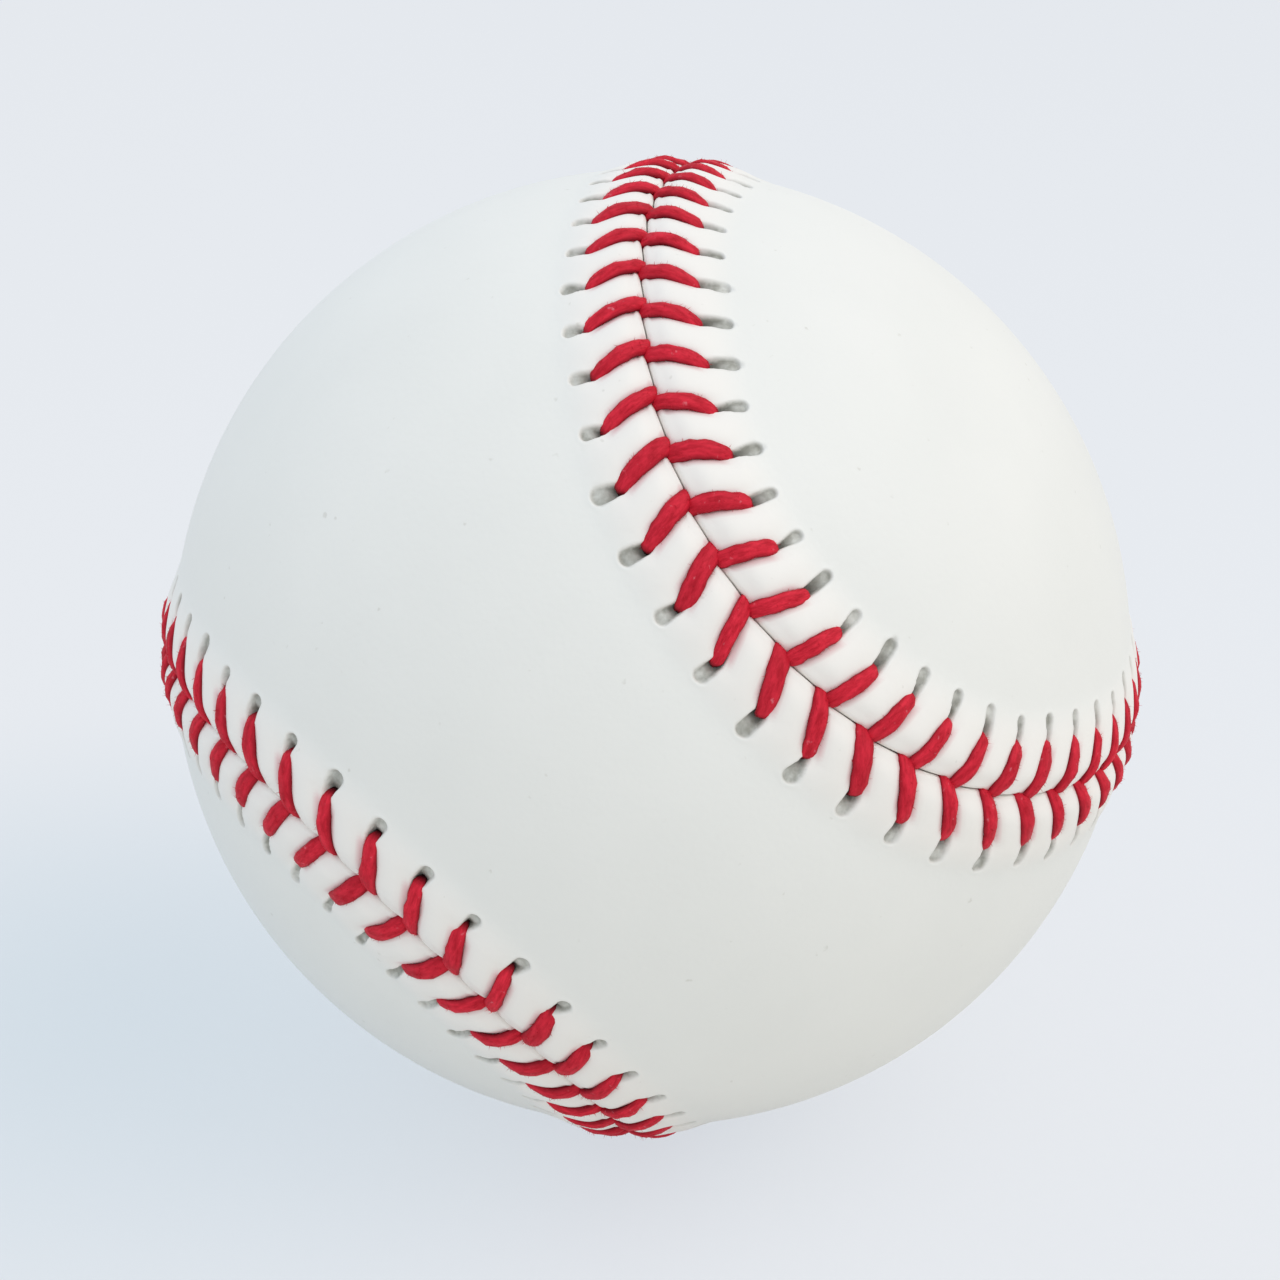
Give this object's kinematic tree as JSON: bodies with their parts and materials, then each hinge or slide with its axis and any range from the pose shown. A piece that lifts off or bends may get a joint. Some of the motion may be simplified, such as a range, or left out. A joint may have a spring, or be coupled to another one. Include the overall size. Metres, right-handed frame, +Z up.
{
  "type": "baseball",
  "caption": "Round leather-covered ball with a cork and rubber pill, wool and cotton windings, and two figure-eight covers laced with red thread along a raised seam.",
  "frame": {"origin": "centre of the ball", "axes": "+Z up, -Y out through the middle of the front cover's waist, +X through a crossing of the seam; the seam crosses +X, +Z, -X and -Z"},
  "size_m": [0.077, 0.0746, 0.077],
  "materials": {
    "cork": "pressed cork granules",
    "black_rubber": "moulded, matt",
    "red_rubber": "moulded, matt",
    "grey_wool": "wound yarn",
    "white_wool": "wound yarn",
    "cotton_yarn": "fine wound yarn",
    "white_leather": "smooth grain, low sheen",
    "red_thread": "waxed cotton thread"
  },
  "bodies": {
    "root": {"cork_core": "cork", "upper_rubber_cup": "black_rubber", "lower_rubber_cup": "black_rubber", "rubber_gasket": "red_rubber", "red_rubber_shell": "red_rubber", "inner_wool_winding": "grey_wool", "white_wool_winding": "white_wool", "outer_wool_winding": "grey_wool", "finish_winding": "cotton_yarn", "front_cover": "white_leather", "rear_cover": "white_leather", "front_stitches": "red_thread", "rear_stitches": "red_thread"}
  },
  "joints": []
}
